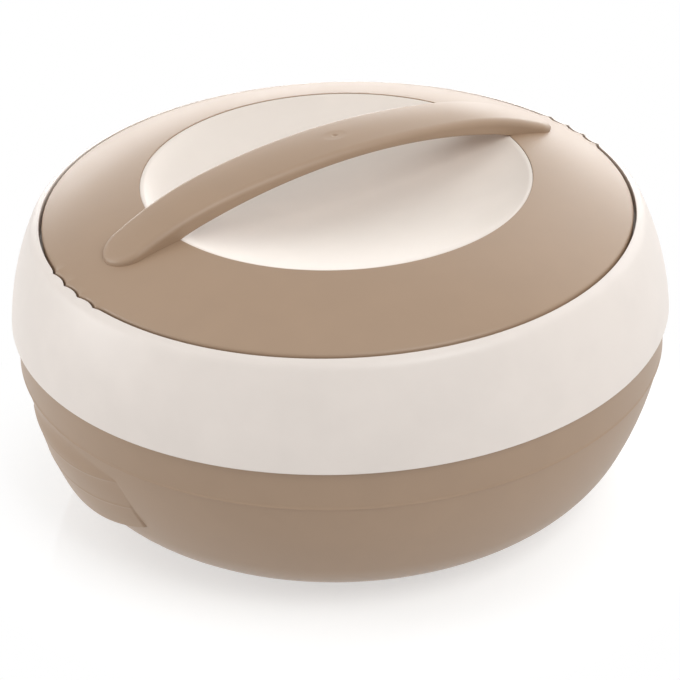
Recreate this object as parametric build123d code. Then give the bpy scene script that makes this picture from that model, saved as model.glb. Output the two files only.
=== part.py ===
from build123d import *
from math import cos, hypot, radians, sin, sqrt
import os

# Insulated food warmer: a round foam-filled pot with a steel bowl, and a lid that lifts straight off.
# Sizes are in millimetres. The origin is on the floor at the pot's centre, X runs along the handle
# and +Z is up. Radii are measured from the pot's axis.

# Overall heights
foot_standoff = 3.5        # floor to the shell's flat bottom
shell_height = 82.2        # flat bottom to the shoulder under the collar
collar_height = 45.5       # lower edge of the collar to its top
crown_rise = 15.1          # top of the collar to the rim of the dish
handle_rise = 19.9         # rim of the dish to the top of the handle

# Overall widths, each from the one before
mouth_radius = 133.0       # inner wall of the collar, round the lid
collar_width = 15.5        # mouth to the collar's widest edge
collar_overhang = 1.5      # how far the collar stands out over the shell
floor_inset = 52.0         # step of the shell to the edge of its flat bottom
ring_width = 44.45         # rim of the dish to the lid's edge

# Clearances
lid_gap = 1.7              # between lid and collar, all round
fit_gap = 0.3              # between pieces that drop into each other
rest_gap = 0.3             # under the parts of the lid that come down on the pot
shadow_gap = 0.3           # between the shell's shoulder and the collar's edge
seat_gap = 0.1             # under the handle's feet on the domed ring
relief = 0.1               # keeps scallops from meeting a round wall along a line

# Base shell
shell_wall = 2.8
corner_radius = 43.5       # between flat bottom and round wall
belly_radius = 150.0       # round wall, in section
band_height = 18.4         # plain band between the step and the shoulder
band_taper = 1.0           # how far the band leans in towards the step
step_depth = 0.5
spigot_height = 7.3        # rim that centres the collar, above the shoulder
spigot_root = 5.7          # the same rim, below the shoulder
spigot_wall = 2.4
spigot_bite = 0.4          # how far the rim's root reaches into the wall

# Finger grips on the shell
grip_ramp_drop = 3.3       # step of the shell to the upper end of the grip's ramp
grip_ramp = 8.0            # height of the ramp between the round wall and the grip's face
grip_depth = 30.7          # ramp to the lowest point of the lower edge
grip_arch = 8.5            # how much the lower edge rises at its ends
grip_top_angle = 17.0      # half of the ramp's width, seen from the axis
grip_bottom_angle = 20.2   # half of the lower edge
grip_top_out = 3.2         # stand-out from the round wall in the middle, below the ramp
grip_bottom_out = 5.1      # the same at the lower edge
grip_ramp_bite = 0.3       # how far the ramp's upper end lies inside the wall
grip_axis = 43.0           # axis that the pads are turned about, off the pot's own axis
grip_face_radius = 108.0   # outer face, in section
grip_corner = 8.0
grip_toe = 2.5             # rounding at the ends of the lower edge

# Filling hole, plug and feet
filling_hole_radius = 10.0
plug_clearance = 0.1
plug_flange = 2.0          # flange beyond the hole
plug_flange_thickness = 1.2
foot_radius = 9.0
foot_circle = 78.0
foot_recess = 1.0
foot_count = 4
foot_edge = 0.8

# Collar
collar_wall = 2.6
collar_bulge_radius = 123.0
collar_top_width = 3.4     # flat top before its outer corner is rounded
collar_rounding = 5.0
collar_lip_rounding = 0.6
collar_shoulder = 2.5      # thickness of the inner shoulder on the spigot
ledge_depth = 9.0          # how far the ledge reaches in from the mouth
ledge_thickness = 2.5
lid_depth = 6.5            # top of the collar down to the ledge

# Keyed ends of the lid
scallop_count = 5
scallop_pitch = 5.2        # degrees
scoop_radius = 15.0        # hollows between the lid's teeth
tooth_height = 1.3
notch_depth = 1.2

# Steel bowl and its gasket
bowl_inset = 6.0           # edge of the ledge to the bowl's wall
bowl_sheet = 0.8
bowl_corner_radius = 50.0
bowl_floor_foam = 8.7      # foam between shell and bowl, at the bottom
flange_grip = 3.5          # how far the bowl's flange reaches under the ledge
gasket_thickness = 1.3
gasket_inset = 0.3         # edge of the ledge to the gasket

# Lid ring and dish
ring_wall = 2.5
crown_drop = 14.8          # rim of the dish to the lid's edge, before rounding
crown_radius = 142.0
crown_rounding = 2.0
seat_rib = 2.3             # rib inside the skirt that the under ring seats on
dish_gap = 0.35
dish_seat_drop = 11.6      # rim of the dish down to the ledge that carries it
dish_seat_width = 2.85
dish_seat_thickness = 2.0
dish_wall = 2.2
dish_lip = 0.8             # flat lip round the hollow
dish_rim_drop = 0.3
dish_wall_depth = 3.8      # short steep wall below the lip
dish_wall_run = 2.2
dish_depth = 16.0          # rim of the ring to the lowest point of the hollow

# Handle
handle_half_width = 15.0
handle_end_half_width = 11.4
handle_end_length = 9.0    # rounded end
handle_foot = 28.65        # how far each end runs out over the ring
handle_crown_radius = 375.0
handle_crown_inset = 26.85 # rim of the dish to the end of the flatter middle
handle_thickness = 5.5     # in the middle
handle_tip_thickness = 2.6
handle_edge = 1.8          # rounding of the long upper edges
gate_mark_radius = 12.0
gate_mark_depth = 0.4

# Handle bosses, screws and washers
boss_offset = 10.15        # rim of the dish to the bosses
boss_half_spacing = 6.0
boss_radius = 4.0
boss_clearance = 0.2
pad_radius = 7.0
pad_drop = 12.6            # rim of the dish to the underside of the screw pads
pad_floor = 2.0            # plastic between boss and washer
screw_radius = 1.5
screw_bite = 10.5          # screw in the boss
screw_hole_clearance = 0.2
pilot_clearance = 0.05
pilot_spare = 0.5          # pilot hole beyond the screw's point
screw_head_radius = 2.9
screw_head_height = 2.2
washer_radius = 3.8
washer_thickness = 0.8
pocket_margin = 2.5        # room in the foam round the pads

# Underside of the lid
plate_thickness = 2.0
skirt_gap = 1.5            # between the bowl's wall and the lid's inner skirt
skirt_wall = 2.5
skirt_depth = 14.8         # plate down to the end of the inner skirt
liner_seat = 4.0
liner_seat_thickness = 1.3
liner_sheet = 0.8
seal_margin = 1.0          # seal to bowl wall, and seal to the ledge's edge
seal_groove_depth = 0.7
seal_fit = 0.1

# Heights worked out from the sizes above
shoulder_z = foot_standoff + shell_height
step_z = shoulder_z - band_height
collar_z = shoulder_z + shadow_gap
collar_top_z = collar_z + collar_height
spigot_top_z = shoulder_z + spigot_height
ledge_z = collar_top_z - lid_depth
ledge_under_z = ledge_z - ledge_thickness
flange_top_z = ledge_under_z - gasket_thickness
bowl_bottom_z = foot_standoff + shell_wall + bowl_floor_foam
crown_z = collar_top_z + crown_rise
crown_edge_z = crown_z - crown_drop
handle_top_z = crown_z + handle_rise
skirt_z = ledge_z + rest_gap
plate_top_z = skirt_z + plate_thickness
dish_seat_z = crown_z - dish_seat_drop
dish_low_z = crown_z - dish_depth
pad_z = crown_z - pad_drop
boss_z = pad_z + pad_floor
inner_skirt_z = skirt_z - skirt_depth
liner_z = inner_skirt_z + liner_seat_thickness
liner_top_z = liner_z + liner_sheet

# Radii worked out from the sizes above
collar_radius = mouth_radius + collar_width
band_radius = collar_radius - collar_overhang
step_radius = band_radius - band_taper - step_depth
floor_radius = step_radius - floor_inset
spigot_inner_radius = band_radius - shell_wall - spigot_wall + spigot_bite
spigot_outer_radius = spigot_inner_radius + spigot_wall
ledge_radius = mouth_radius - ledge_depth
bowl_radius = ledge_radius - bowl_inset
bowl_outer_radius = bowl_radius + bowl_sheet
bowl_floor_radius = bowl_radius - bowl_corner_radius
flange_radius = ledge_radius + flange_grip
lid_radius = mouth_radius - lid_gap
dish_hole_radius = lid_radius - ring_width
dish_radius = dish_hole_radius - dish_gap
dish_seat_radius = dish_hole_radius - dish_seat_width
under_ring_radius = lid_radius - ring_wall - fit_gap
seat_rib_radius = lid_radius - ring_wall - seat_rib
inner_skirt_radius = bowl_radius - skirt_gap
liner_pocket_radius = inner_skirt_radius - skirt_wall
liner_radius = liner_pocket_radius - fit_gap
handle_reach = dish_hole_radius + handle_foot
boss_x = dish_hole_radius + boss_offset
scallop_circle = lid_radius + scoop_radius
scallop_half_angle = scallop_pitch * (scallop_count - 1) / 2


def arc_centre(start, end, radius):
    """Centre and middle point of an arc that bulges to the left of its way, or right if negative."""
    run = end[0] - start[0]
    rise = end[1] - start[1]
    chord = hypot(run, rise)
    side = 1 if radius > 0 else -1
    left = (-rise / chord * side, run / chord * side)
    reach = sqrt(radius ** 2 - (chord / 2) ** 2)
    centre = ((start[0] + end[0]) / 2 - left[0] * reach, (start[1] + end[1]) / 2 - left[1] * reach)
    middle = (centre[0] + left[0] * abs(radius), centre[1] + left[1] * abs(radius))
    return centre, middle


def outline(points, arcs=None):
    """Closed face through the points; arcs gives the radius of the span that starts at a point."""
    edges = []
    for index, start in enumerate(points):
        end = points[(index + 1) % len(points)]
        if arcs and index in arcs:
            middle = arc_centre(start, end, arcs[index])[1]
            edges.append(ThreePointArc(start, middle, end))
        else:
            edges.append(Line(start, end))
    return Face(Wire(edges))


def rounded(face, corners):
    """The same face with each named corner point rounded to its radius."""
    for point, radius in corners:
        corner = face.vertices().sort_by_distance(point)[0]
        face = face.fillet_2d(radius, [corner])
    return face


def turned(face):
    """Solid of revolution of a half section drawn as radius and height."""
    return revolve(Plane.XZ * face, Axis.Z)


def ring(inner, outer, low, high):
    """Plain ring round the axis."""
    return turned(outline([(inner, low), (outer, low), (outer, high), (inner, high)]))


def belly_centres():
    """Centres of the shell's corner arc and belly arc, which touch each other from inside."""
    corner = (floor_radius, foot_standoff + corner_radius)
    across = (step_radius - corner[0], step_z - corner[1])
    reach = hypot(across[0], across[1])
    spread = belly_radius - corner_radius
    along = (spread ** 2 - belly_radius ** 2 + reach ** 2) / (2 * reach)
    aside = sqrt(spread ** 2 - along ** 2)
    unit = (across[0] / reach, across[1] / reach)
    belly = (corner[0] + along * unit[0] - aside * unit[1], corner[1] + along * unit[1] + aside * unit[0])
    return corner, belly


def belly_at(height, inset=0.0):
    """Radius of the shell's round wall at a height, moved in by the inset."""
    belly = belly_centres()[1]
    return belly[0] + sqrt((belly_radius - inset) ** 2 - (height - belly[1]) ** 2)


def belly_points(inset):
    """Edge of the flat bottom, meeting point of the two arcs and end of the round wall."""
    corner, belly = belly_centres()
    spread = belly_radius - corner_radius
    unit = ((corner[0] - belly[0]) / spread, (corner[1] - belly[1]) / spread)
    meeting = (corner[0] + unit[0] * (corner_radius - inset), corner[1] + unit[1] * (corner_radius - inset))
    return [
        (0, foot_standoff + inset),
        (floor_radius, foot_standoff + inset),
        meeting,
        (belly_at(step_z, inset), step_z),
    ]


def belly_arcs(inset):
    return {1: inset - corner_radius, 2: inset - belly_radius}


def collar_outer(height, inset=0.0):
    """Radius of the collar's outer face at a height, moved in by the inset."""
    top = (mouth_radius + collar_top_width, collar_top_z)
    centre = arc_centre(top, (collar_radius, collar_z), collar_bulge_radius)[0]
    return centre[0] - inset + sqrt(collar_bulge_radius ** 2 - (height - centre[1]) ** 2)


def crown_centre():
    return arc_centre((dish_hole_radius, crown_z), (lid_radius, crown_edge_z), crown_radius)[0]


def crown_height(radius, inset=0.0):
    """Height of the lid's domed ring at a radius, lowered by the inset."""
    centre = crown_centre()
    return centre[1] + sqrt((crown_radius - inset) ** 2 - (radius - centre[0]) ** 2)


def screw_places():
    """The four screw positions, seen from above."""
    return [(end * boss_x, side * boss_half_spacing) for end in (-1, 1) for side in (-1, 1)]


def post(radius, low, high, place=(0, 0)):
    """Upright round post between two heights."""
    foot = Pos(place[0], place[1], low)
    return foot * Cylinder(radius, high - low, align=(Align.CENTER, Align.CENTER, Align.MIN))


def both_ends(piece):
    """A piece modelled at the +X end, and the same turned to the other end."""
    return piece + Rot(0, 0, 180) * piece


def scallop_wedge(radius):
    """Slice of a disc over the scalloped stretch at the +X end."""
    far = radius / cos(radians(scallop_half_angle))
    corner = (far * cos(radians(scallop_half_angle)), far * sin(radians(scallop_half_angle)))
    return outline([(0, 0), (corner[0], -corner[1]), corner])


def scallop_discs(radius, low, high):
    """Upright posts on the pitch of the scallops."""
    posts = []
    for index in range(scallop_count):
        angle = radians(scallop_pitch * index - scallop_half_angle)
        posts.append(post(radius, low, high, (scallop_circle * cos(angle), scallop_circle * sin(angle))))
    return posts


def grip(inner_face_inset):
    """Finger grip at the +X end: a pad that grows out of the wall downwards, with an arched lower edge."""
    ramp_z = step_z - grip_ramp_drop
    top_z = ramp_z - grip_ramp
    low_z = top_z - grip_depth
    low_radius = belly_at(low_z) + grip_bottom_out
    corners = [
        (belly_at(low_z, inner_face_inset), low_z),
        (low_radius, low_z),
        (belly_at(top_z) + grip_top_out, top_z),
        (belly_at(ramp_z, grip_ramp_bite), ramp_z),
        (belly_at(ramp_z, inner_face_inset), ramp_z),
    ]
    section = outline(
        [(radius - grip_axis, height) for radius, height in corners],
        {1: -grip_face_radius, 4: belly_radius - inner_face_inset},
    )
    half_top = belly_at(ramp_z) * sin(radians(grip_top_angle))
    half_low = low_radius * sin(radians(grip_bottom_angle))
    end_z = low_z + grip_arch
    arch_radius = (half_low ** 2 + grip_arch ** 2) / (2 * grip_arch)
    front = outline(
        [(-half_low, end_z), (half_low, end_z), (half_top, ramp_z), (-half_top, ramp_z)],
        {0: -arch_radius},
    )
    front = rounded(
        front,
        [
            ((half_top, ramp_z), grip_corner),
            ((-half_top, ramp_z), grip_corner),
            ((half_low, end_z), grip_toe),
            ((-half_low, end_z), grip_toe),
        ],
    )
    block = extrude(Plane.YZ * front, collar_radius)
    return Pos(grip_axis, 0, 0) * turned(section) & block


def base_shell():
    """Lower bowl with its step, the rim that centres the collar, two grips and the recesses below."""
    outer_points = belly_points(0) + [
        (step_radius + step_depth, step_z),
        (band_radius, shoulder_z),
        (0, shoulder_z),
    ]
    inner_points = belly_points(shell_wall) + [
        (band_radius - shell_wall, shoulder_z),
        (0, shoulder_z),
    ]
    shell = turned(outline(outer_points, belly_arcs(0)))
    shell += both_ends(grip(shell_wall / 2))
    shell -= turned(outline(inner_points, belly_arcs(shell_wall)))
    shell += ring(spigot_inner_radius, spigot_outer_radius, shoulder_z - spigot_root, spigot_top_z)
    shell -= post(filling_hole_radius, foot_standoff, foot_standoff + shell_wall)
    for place in foot_places():
        shell -= post(foot_radius + fit_gap, foot_standoff, foot_standoff + foot_recess, place)
    return shell


def foot_places():
    """Centres of the feet, seen from above, off the handle's line."""
    places = []
    for index in range(foot_count):
        angle = radians(360 * (index + 0.5) / foot_count)
        places.append((foot_circle * cos(angle), foot_circle * sin(angle)))
    return places


def rubber_feet():
    """Round pads, each seated against the bottom of its recess."""
    feet = []
    for place in foot_places():
        foot = post(foot_radius, 0, foot_standoff + foot_recess, place)
        feet.append(chamfer(foot.edges().group_by(Axis.Z)[0], foot_edge))
    return feet


def filling_plug():
    """Flanged plug in the foaming hole."""
    stem = post(filling_hole_radius - plug_clearance, foot_standoff, foot_standoff + shell_wall)
    flange_low = foot_standoff - plug_flange_thickness
    return stem + post(filling_hole_radius + plug_flange, flange_low, foot_standoff)


def collar():
    """Wide cream ring: rounded outer wall, mouth, ledge under the lid and shoulder on the spigot."""
    spigot_socket = spigot_outer_radius + fit_gap
    shoulder_top_z = spigot_top_z + collar_shoulder
    mouth_wall = mouth_radius + collar_wall
    hollow_top_z = crest_of_hollow(mouth_wall)
    points = [
        (collar_radius, collar_z),
        (spigot_socket, collar_z),
        (spigot_socket, spigot_top_z),
        (spigot_inner_radius, spigot_top_z),
        (spigot_inner_radius, shoulder_top_z),
        (collar_outer(shoulder_top_z, collar_wall), shoulder_top_z),
        (mouth_wall, hollow_top_z),
        (mouth_wall, ledge_under_z),
        (ledge_radius, ledge_under_z),
        (ledge_radius, ledge_z),
        (mouth_radius, ledge_z),
        (mouth_radius, collar_top_z),
        (mouth_radius + collar_top_width, collar_top_z),
    ]
    section = outline(points, {5: -collar_bulge_radius, 12: collar_bulge_radius})
    section = rounded(
        section,
        [
            ((mouth_radius + collar_top_width, collar_top_z), collar_rounding),
            ((collar_radius, collar_z), collar_lip_rounding),
        ],
    )
    body = turned(section)
    # The notches stand one gap outside the lid's teeth, with rounded lobes between them.
    notch = extrude(Plane.XY.offset(ledge_z) * scallop_wedge(collar_radius), lid_depth + relief)
    notch &= post(mouth_radius + notch_depth, ledge_z, collar_top_z + relief)
    for lobe in scallop_discs(scoop_radius - lid_gap - relief, ledge_z, collar_top_z + relief):
        notch -= lobe
    return body - both_ends(notch)


def crest_of_hollow(radius):
    """Height at which the inner face of the collar's outer wall meets a radius."""
    top = (mouth_radius + collar_top_width, collar_top_z)
    centre = arc_centre(top, (collar_radius, collar_z), collar_bulge_radius)[0]
    return centre[1] + sqrt(collar_bulge_radius ** 2 - (radius + collar_wall - centre[0]) ** 2)


def inner_bowl():
    """Steel bowl with a flat floor, a round corner and a flange under the collar's ledge."""
    corner_z = bowl_bottom_z + bowl_sheet + bowl_corner_radius
    points = [
        (0, bowl_bottom_z),
        (bowl_floor_radius, bowl_bottom_z),
        (bowl_outer_radius, corner_z),
        (bowl_outer_radius, flange_top_z - bowl_sheet),
        (flange_radius, flange_top_z - bowl_sheet),
        (flange_radius, flange_top_z),
        (bowl_radius, flange_top_z),
        (bowl_radius, corner_z),
        (bowl_floor_radius, bowl_bottom_z + bowl_sheet),
        (0, bowl_bottom_z + bowl_sheet),
    ]
    return turned(outline(points, {1: -bowl_corner_radius - bowl_sheet, 7: bowl_corner_radius}))


def bowl_gasket():
    """Flat ring between the bowl's flange and the ledge."""
    return ring(ledge_radius + gasket_inset, flange_radius, flange_top_z, ledge_under_z)


def base_insulation():
    """Foam between steel bowl and outer shell."""
    inset = shell_wall + fit_gap
    side_radius = spigot_inner_radius - fit_gap
    side_top_z = crest_of_hollow(side_radius + fit_gap)
    foam_top_z = ledge_under_z - fit_gap
    flange_under_z = flange_top_z - bowl_sheet - fit_gap
    bowl_side = bowl_outer_radius + fit_gap
    corner_z = bowl_bottom_z + bowl_sheet + bowl_corner_radius
    points = belly_points(inset) + [
        (side_radius, shoulder_z - spigot_root - fit_gap),
        (side_radius, side_top_z),
        (collar_outer(foam_top_z, collar_wall + fit_gap), foam_top_z),
        (flange_radius + fit_gap, foam_top_z),
        (flange_radius + fit_gap, flange_under_z),
        (bowl_side, flange_under_z),
        (bowl_side, corner_z),
        (bowl_floor_radius, bowl_bottom_z - fit_gap),
        (0, bowl_bottom_z - fit_gap),
    ]
    arcs = belly_arcs(inset)
    arcs[5] = -collar_bulge_radius
    arcs[10] = bowl_corner_radius + bowl_sheet + fit_gap
    return turned(outline(points, arcs))


def lid_ring():
    """Domed outer ring of the lid with its skirt, dish seat, screw pads and end teeth."""
    skirt_inner = lid_radius - ring_wall
    hub_outer = dish_hole_radius + ring_wall
    points = [
        (dish_hole_radius, crown_z),
        (lid_radius, crown_edge_z),
        (lid_radius, skirt_z),
        (skirt_inner, skirt_z),
        (skirt_inner, plate_top_z),
        (seat_rib_radius, plate_top_z),
        (seat_rib_radius, crown_height(seat_rib_radius, ring_wall)),
        (hub_outer, crown_height(hub_outer, ring_wall)),
        (hub_outer, dish_seat_z - dish_seat_thickness),
        (dish_seat_radius, dish_seat_z - dish_seat_thickness),
        (dish_seat_radius, dish_seat_z),
        (dish_hole_radius, dish_seat_z),
    ]
    section = outline(points, {0: crown_radius, 6: ring_wall - crown_radius})
    section = rounded(section, [((lid_radius, crown_edge_z), crown_rounding)])
    body = turned(section)
    body += both_ends(lid_teeth())
    for place in screw_places():
        pad = post(pad_radius, pad_z, crown_z, place) & crown_block(-ring_wall / 2)
        body += pad
    for place in screw_places():
        body -= post(boss_radius + boss_clearance, boss_z, crown_z + handle_rise, place)
        body -= post(screw_radius + screw_hole_clearance, pad_z, boss_z, place)
    return body


def lid_teeth():
    """Pointed teeth at the +X end, with round hollows between them."""
    tip_radius = lid_radius + tooth_height
    root_radius = lid_radius - ring_wall / 2
    tip_z = crown_height(tip_radius)
    section = outline(
        [(root_radius, skirt_z), (tip_radius, skirt_z), (tip_radius, tip_z), (root_radius, tip_z)],
    )
    teeth = turned(rounded(section, [((tip_radius, tip_z), tooth_height)]))
    teeth &= extrude(Plane.XY.offset(skirt_z) * scallop_wedge(collar_radius), crown_drop)
    for scoop in scallop_discs(scoop_radius - relief, skirt_z, crown_z):
        teeth -= scoop
    return teeth


def crown_block(raise_by):
    """Everything under the domed ring's outer face, raised or lowered by a gap."""
    points = [
        (dish_seat_radius, skirt_z),
        (lid_radius + tooth_height, skirt_z),
        (lid_radius + tooth_height, crown_height(lid_radius + tooth_height) + raise_by),
        (dish_hole_radius, crown_z + raise_by),
        (dish_seat_radius, crown_z + raise_by),
    ]
    return turned(outline(points, {2: -crown_radius}))


def lid_dish():
    """Shallow round hollow with a short steep wall at its rim, seated on the ring's inner ledge."""
    rim_z = crown_z - dish_rim_drop
    lip_radius = dish_radius - dish_lip
    wall_radius = lip_radius - dish_wall_run
    wall_z = rim_z - dish_wall_depth
    rise = wall_z - dish_low_z
    hollow_radius = (wall_radius ** 2 + rise ** 2) / (2 * rise)
    under_radius = hollow_radius + dish_wall
    skirt_radius = dish_radius - dish_wall
    under_edge_z = dish_low_z + hollow_radius - sqrt(under_radius ** 2 - skirt_radius ** 2)
    points = [
        (0, dish_low_z - dish_wall),
        (skirt_radius, under_edge_z),
        (skirt_radius, dish_seat_z),
        (dish_radius, dish_seat_z),
        (dish_radius, rim_z),
        (lip_radius, rim_z),
        (wall_radius, wall_z),
        (0, dish_low_z),
    ]
    return turned(outline(points, {0: -under_radius, 6: hollow_radius}))


def handle_side():
    """Side view of the strap: a crescent over the dish, with both feet running into the ring."""
    crown_half = dish_hole_radius - handle_crown_inset
    crown_end_z = handle_top_z - handle_crown_radius + sqrt(handle_crown_radius ** 2 - crown_half ** 2)
    tip_z = crown_height(handle_reach) + handle_tip_thickness
    slope = (sqrt(handle_crown_radius ** 2 - crown_half ** 2), -crown_half)
    low_z = crown_height(handle_reach) - handle_thickness
    rim_z = crown_z + seat_gap
    under_drop = handle_top_z - handle_thickness - rim_z
    under_radius = (dish_hole_radius ** 2 + under_drop ** 2) / (2 * under_drop)
    under_start = (dish_hole_radius, rim_z)
    under_end = (-dish_hole_radius, rim_z)
    edges = [
        ThreePointArc((-crown_half, crown_end_z), (0, handle_top_z), (crown_half, crown_end_z)),
        TangentArc((crown_half, crown_end_z), (handle_reach, tip_z), tangent=slope),
        Line((handle_reach, tip_z), (handle_reach, low_z)),
        Line((handle_reach, low_z), (dish_hole_radius, low_z)),
        Line((dish_hole_radius, low_z), under_start),
        ThreePointArc(under_start, arc_centre(under_start, under_end, -under_radius)[1], under_end),
        Line(under_end, (-dish_hole_radius, low_z)),
        Line((-dish_hole_radius, low_z), (-handle_reach, low_z)),
        Line((-handle_reach, low_z), (-handle_reach, tip_z)),
        TangentArc((-crown_half, crown_end_z), (-handle_reach, tip_z), tangent=(-slope[0], slope[1])),
    ]
    return Face(Wire(edges))


def handle_plan():
    """Strap seen from above: widest in the middle, with blunt round ends."""
    shoulder = handle_reach - handle_end_length
    near_left = (-shoulder, -handle_end_half_width)
    near_right = (shoulder, -handle_end_half_width)
    far_left = (-shoulder, handle_end_half_width)
    far_right = (shoulder, handle_end_half_width)
    edges = [
        ThreePointArc(near_left, (0, -handle_half_width), near_right),
        ThreePointArc(near_right, (handle_reach, 0), far_right),
        ThreePointArc(far_right, (0, handle_half_width), far_left),
        ThreePointArc(far_left, (-handle_reach, 0), near_left),
    ]
    return Face(Wire(edges))


def lid_handle():
    """Arched strap with two bosses at each end for the screws."""
    strap = extrude(Plane.XZ * handle_side(), handle_half_width, both=True)
    strap &= extrude(Plane.XY.offset(skirt_z) * handle_plan(), handle_top_z - skirt_z + relief)
    strap = fillet(strap.edges().filter_by(is_upper_edge), handle_edge)
    strap -= crown_block(seat_gap)
    strap -= Pos(0, 0, handle_top_z + gate_mark_radius - gate_mark_depth) * Sphere(gate_mark_radius)
    for place in screw_places():
        strap += post(boss_radius, boss_z, crown_z + seat_gap, place)
    for place in screw_places():
        strap -= post(screw_radius + pilot_clearance, boss_z, boss_z + screw_bite + pilot_spare, place)
    return strap


def is_upper_edge(edge):
    """True for the edges round the strap's upper face, before its feet are cut to the ring."""
    middle = edge @ 0.5
    is_underside = abs(middle.X) < handle_thickness and middle.Z < handle_top_z - handle_thickness / 2
    is_above_ring = middle.Z > crown_height(handle_reach)
    return edge.geom_type != GeomType.LINE and is_above_ring and not is_underside


def screw_washers():
    """Washers under the screw pads."""
    washers = []
    for place in screw_places():
        washer = post(washer_radius, pad_z - washer_thickness, pad_z, place)
        hole = post(screw_radius + screw_hole_clearance, pad_z - washer_thickness, pad_z, place)
        washers.append(washer - hole)
    return washers


def handle_screws():
    """Screws that go up through washer and pad into the handle's bosses."""
    head_top_z = pad_z - washer_thickness
    screws = []
    for place in screw_places():
        head = post(screw_head_radius, head_top_z - screw_head_height, head_top_z, place)
        screws.append(head + post(screw_radius, head_top_z, boss_z + screw_bite, place))
    return screws


def lid_under_ring():
    """Ring on the lid's underside: plate with the seal's groove, inner skirt and liner seat."""
    groove_z = skirt_z + seal_groove_depth
    groove_inner = bowl_radius + seal_margin - seal_fit
    groove_outer = ledge_radius - seal_margin + seal_fit
    points = [
        (liner_pocket_radius, plate_top_z),
        (liner_pocket_radius, liner_z),
        (liner_pocket_radius - liner_seat, liner_z),
        (liner_pocket_radius - liner_seat, inner_skirt_z),
        (inner_skirt_radius, inner_skirt_z),
        (inner_skirt_radius, skirt_z),
        (groove_inner, skirt_z),
        (groove_inner, groove_z),
        (groove_outer, groove_z),
        (groove_outer, skirt_z),
        (under_ring_radius, skirt_z),
        (under_ring_radius, plate_top_z),
    ]
    return turned(outline(points))


def lid_seal():
    """Silicone ring in the groove, just above the bowl's flange."""
    inner = bowl_radius + seal_margin
    outer = ledge_radius - seal_margin
    return ring(inner, outer, flange_top_z + rest_gap, skirt_z + seal_groove_depth)


def lid_liner():
    """Steel disc that closes the lid towards the food."""
    return post(liner_radius, liner_z, liner_top_z)


def lid_insulation():
    """Foam between liner and lid, with a pocket round the screws at each end."""
    low_z = liner_top_z + fit_gap
    middle_top_z = dish_low_z - dish_wall - fit_gap
    hub_inner = dish_seat_radius - fit_gap
    hub_outer = dish_hole_radius + ring_wall + fit_gap
    hub_z = dish_seat_z - dish_seat_thickness - fit_gap
    rim_outer = seat_rib_radius - fit_gap
    inset = ring_wall + fit_gap
    points = [
        (0, low_z),
        (liner_radius, low_z),
        (liner_radius, plate_top_z + fit_gap),
        (rim_outer, plate_top_z + fit_gap),
        (rim_outer, crown_height(rim_outer, inset)),
        (hub_outer, crown_height(hub_outer, inset)),
        (hub_outer, hub_z),
        (hub_inner, hub_z),
        (hub_inner, middle_top_z),
        (0, middle_top_z),
    ]
    foam = turned(outline(points, {4: inset - crown_radius}))
    pocket_low_z = pad_z - washer_thickness - screw_head_height - fit_gap
    pocket_length = 2 * (pad_radius + pocket_margin)
    pocket = Pos(boss_x, 0, pocket_low_z) * Box(
        pocket_length,
        pocket_length + 2 * boss_half_spacing,
        crown_z - pocket_low_z,
        align=(Align.CENTER, Align.CENTER, Align.MIN),
    )
    return foam - both_ends(pocket)


def write(name, piece):
    """One STEP file for each named piece, or for a group of equal ones."""
    solids = piece if isinstance(piece, list) else [piece]
    whole = Compound(children=[solid for part in solids for solid in part.solids()])
    whole.label = name
    export_step(whole, os.path.join("parts", name + ".step"))


def main():
    os.makedirs("parts", exist_ok=True)
    pieces = {
        "base_shell": base_shell,
        "collar": collar,
        "inner_bowl": inner_bowl,
        "bowl_gasket": bowl_gasket,
        "base_insulation": base_insulation,
        "filling_plug": filling_plug,
        "rubber_feet": rubber_feet,
        "lid_ring": lid_ring,
        "lid_dish": lid_dish,
        "lid_handle": lid_handle,
        "handle_screws": handle_screws,
        "screw_washers": screw_washers,
        "lid_under_ring": lid_under_ring,
        "lid_seal": lid_seal,
        "lid_liner": lid_liner,
        "lid_insulation": lid_insulation,
    }
    for name, make in pieces.items():
        write(name, make())
        print(name)


if __name__ == "__main__":
    main()
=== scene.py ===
import math
from collections import namedtuple

import bmesh
import bpy
import numpy as np
from bpy.props import FloatProperty, FloatVectorProperty, IntProperty, PointerProperty
from mathutils import Matrix, Vector


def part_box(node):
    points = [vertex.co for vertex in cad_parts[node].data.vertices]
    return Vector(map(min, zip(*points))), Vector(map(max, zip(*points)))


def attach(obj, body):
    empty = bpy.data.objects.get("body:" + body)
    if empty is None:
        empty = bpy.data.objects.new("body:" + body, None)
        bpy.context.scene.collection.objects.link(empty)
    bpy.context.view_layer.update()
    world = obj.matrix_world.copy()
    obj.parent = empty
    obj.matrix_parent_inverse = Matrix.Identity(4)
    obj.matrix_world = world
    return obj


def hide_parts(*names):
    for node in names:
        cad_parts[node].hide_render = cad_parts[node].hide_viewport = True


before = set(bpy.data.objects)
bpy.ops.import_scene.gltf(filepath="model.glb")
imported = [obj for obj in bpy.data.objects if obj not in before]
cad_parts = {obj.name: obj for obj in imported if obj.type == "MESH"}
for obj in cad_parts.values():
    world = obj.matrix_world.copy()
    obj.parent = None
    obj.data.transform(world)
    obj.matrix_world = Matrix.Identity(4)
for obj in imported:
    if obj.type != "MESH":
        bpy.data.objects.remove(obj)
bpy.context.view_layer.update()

bl_info = {
    "name": "Insulated food warmer",
    "version": (1, 0, 0),
    "blender": (4, 5, 0),
    "location": "View3D > Sidebar > Food warmer",
    "description": "Builds the pieces, finishes and stage of a round insulated food warmer",
    "category": "Object",
}

MM = 0.001

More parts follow.
